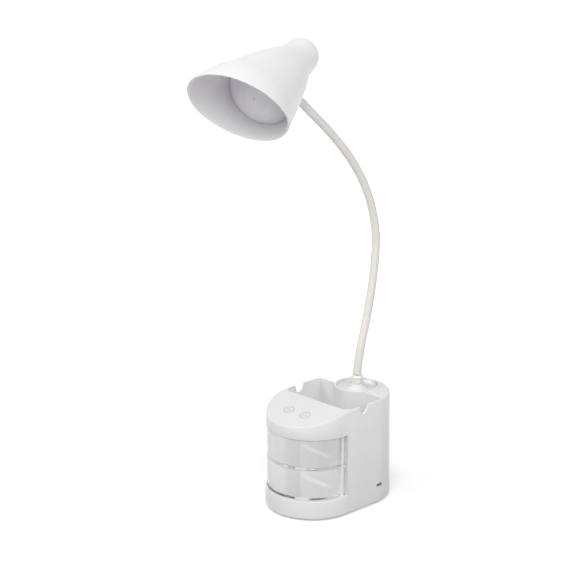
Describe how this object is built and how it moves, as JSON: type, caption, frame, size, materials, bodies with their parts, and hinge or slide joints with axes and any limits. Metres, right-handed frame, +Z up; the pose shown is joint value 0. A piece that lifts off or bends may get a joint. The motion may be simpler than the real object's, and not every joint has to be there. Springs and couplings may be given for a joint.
{
  "type": "led desk lamp",
  "caption": "Rechargeable desk lamp: bell shade on a flexible neck over an organizer base with pen cup, phone notches and clear swing-out drawers.",
  "frame": {"origin": "middle of the foot pad's underside, on the desk", "axes": "+Z up; the front with the drawers faces -Y; the charging socket and the drawers' hinge are on the +X side"},
  "size_m": [0.1246, 0.2589, 0.4646],
  "materials": {
    "white_plastic": "smooth glossy moulding",
    "cream_sleeve": "soft satin sleeve",
    "clear_plastic": "clear, polished",
    "milky_plastic": "milky, satin",
    "pad_rubber": "matt",
    "green_board": "solder mask",
    "white_board": "white coated",
    "grey_plastic": "moulded",
    "cell_wrap": "shrink film",
    "led_phosphor": "phosphor gel",
    "plain_steel": "zinc plated",
    "bright_steel": "bright"
  },
  "bodies": {
    "base": {"ballast_plate": "plain_steel", "battery_cell": "cell_wrap", "battery_holder": "grey_plastic", "bay_ceiling": "white_plastic", "board_screw_1": "bright_steel", "board_screw_2": "bright_steel", "bottom_cover": "white_plastic", "cover_screw_1": "bright_steel", "cover_screw_2": "bright_steel", "cover_screw_3": "bright_steel", "cover_screw_4": "bright_steel", "foot_pad": "pad_rubber", "hinge_pin": "bright_steel", "housing": "white_plastic", "main_board": "green_board", "neck_cap": "white_plastic", "neck_core_root": "bright_steel", "neck_ferrule": "cream_sleeve", "neck_nut": "bright_steel", "neck_sleeve_root": "cream_sleeve", "neck_stud": "bright_steel", "touch_board": "green_board", "touch_electrode_1": "bright_steel", "touch_electrode_2": "bright_steel", "usb_socket": "bright_steel"},
    "drawer_lower": {"drawer_lower": "clear_plastic"},
    "drawer_upper": {"drawer_upper": "clear_plastic"},
    "neck_1": {"neck_sleeve_1": "cream_sleeve", "neck_core_1": "bright_steel"},
    "neck_2": {"neck_sleeve_2": "cream_sleeve", "neck_core_2": "bright_steel"},
    "neck_3": {"neck_sleeve_3": "cream_sleeve", "neck_core_3": "bright_steel"},
    "neck_4": {"neck_sleeve_4": "cream_sleeve", "neck_core_4": "bright_steel"},
    "neck_5": {"neck_sleeve_5": "cream_sleeve", "neck_core_5": "bright_steel"},
    "head": {"diffuser": "milky_plastic", "led_1": "led_phosphor", "led_2": "led_phosphor", "led_3": "led_phosphor", "led_4": "led_phosphor", "led_5": "led_phosphor", "led_6": "led_phosphor", "led_7": "led_phosphor", "led_8": "led_phosphor", "led_board": "white_board", "light_holder": "white_plastic", "light_screw_1": "bright_steel", "light_screw_2": "bright_steel", "light_screw_3": "bright_steel", "neck_bush": "white_plastic", "neck_core_head": "bright_steel", "neck_sleeve_head": "cream_sleeve", "shade": "white_plastic"}
  },
  "joints": [
    {"name": "drawer_lower_swing", "type": "hinge", "parent": "base", "child": "drawer_lower", "pos_m": [0.0405, -0.0232, 0.036], "axis": [0, 0, 1], "range_deg": [0, 90]},
    {"name": "drawer_upper_swing", "type": "hinge", "parent": "base", "child": "drawer_upper", "pos_m": [0.0405, -0.0232, 0.067], "axis": [0, 0, 1], "range_deg": [0, 90]},
    {"name": "neck_bend_1", "type": "hinge", "parent": "base", "child": "neck_1", "pos_m": [0, 0.04272, 0.13423], "axis": [1, 0, 0], "range_deg": [-25, 20]},
    {"name": "neck_side_1", "type": "hinge", "parent": "neck_1", "child": "neck_2", "pos_m": [0, 0.0583, 0.1954], "axis": [0, 0.976, -0.2178], "range_deg": [-30, 30]},
    {"name": "neck_bend_2", "type": "hinge", "parent": "neck_2", "child": "neck_3", "pos_m": [0, 0.06507, 0.25797], "axis": [1, 0, 0], "range_deg": [-30, 25]},
    {"name": "neck_side_2", "type": "hinge", "parent": "neck_3", "child": "neck_4", "pos_m": [0, 0.04469, 0.31721], "axis": [0, 0.8582, 0.5134], "range_deg": [-30, 30]},
    {"name": "neck_bend_3", "type": "hinge", "parent": "neck_4", "child": "neck_5", "pos_m": [0, 0.0049, 0.36601], "axis": [1, 0, 0], "range_deg": [-30, 25]},
    {"name": "head_tilt", "type": "hinge", "parent": "neck_5", "child": "head", "pos_m": [0, -0.04169, 0.40862], "axis": [0.9478, 0.319, 0], "range_deg": [-30, 30]}
  ]
}
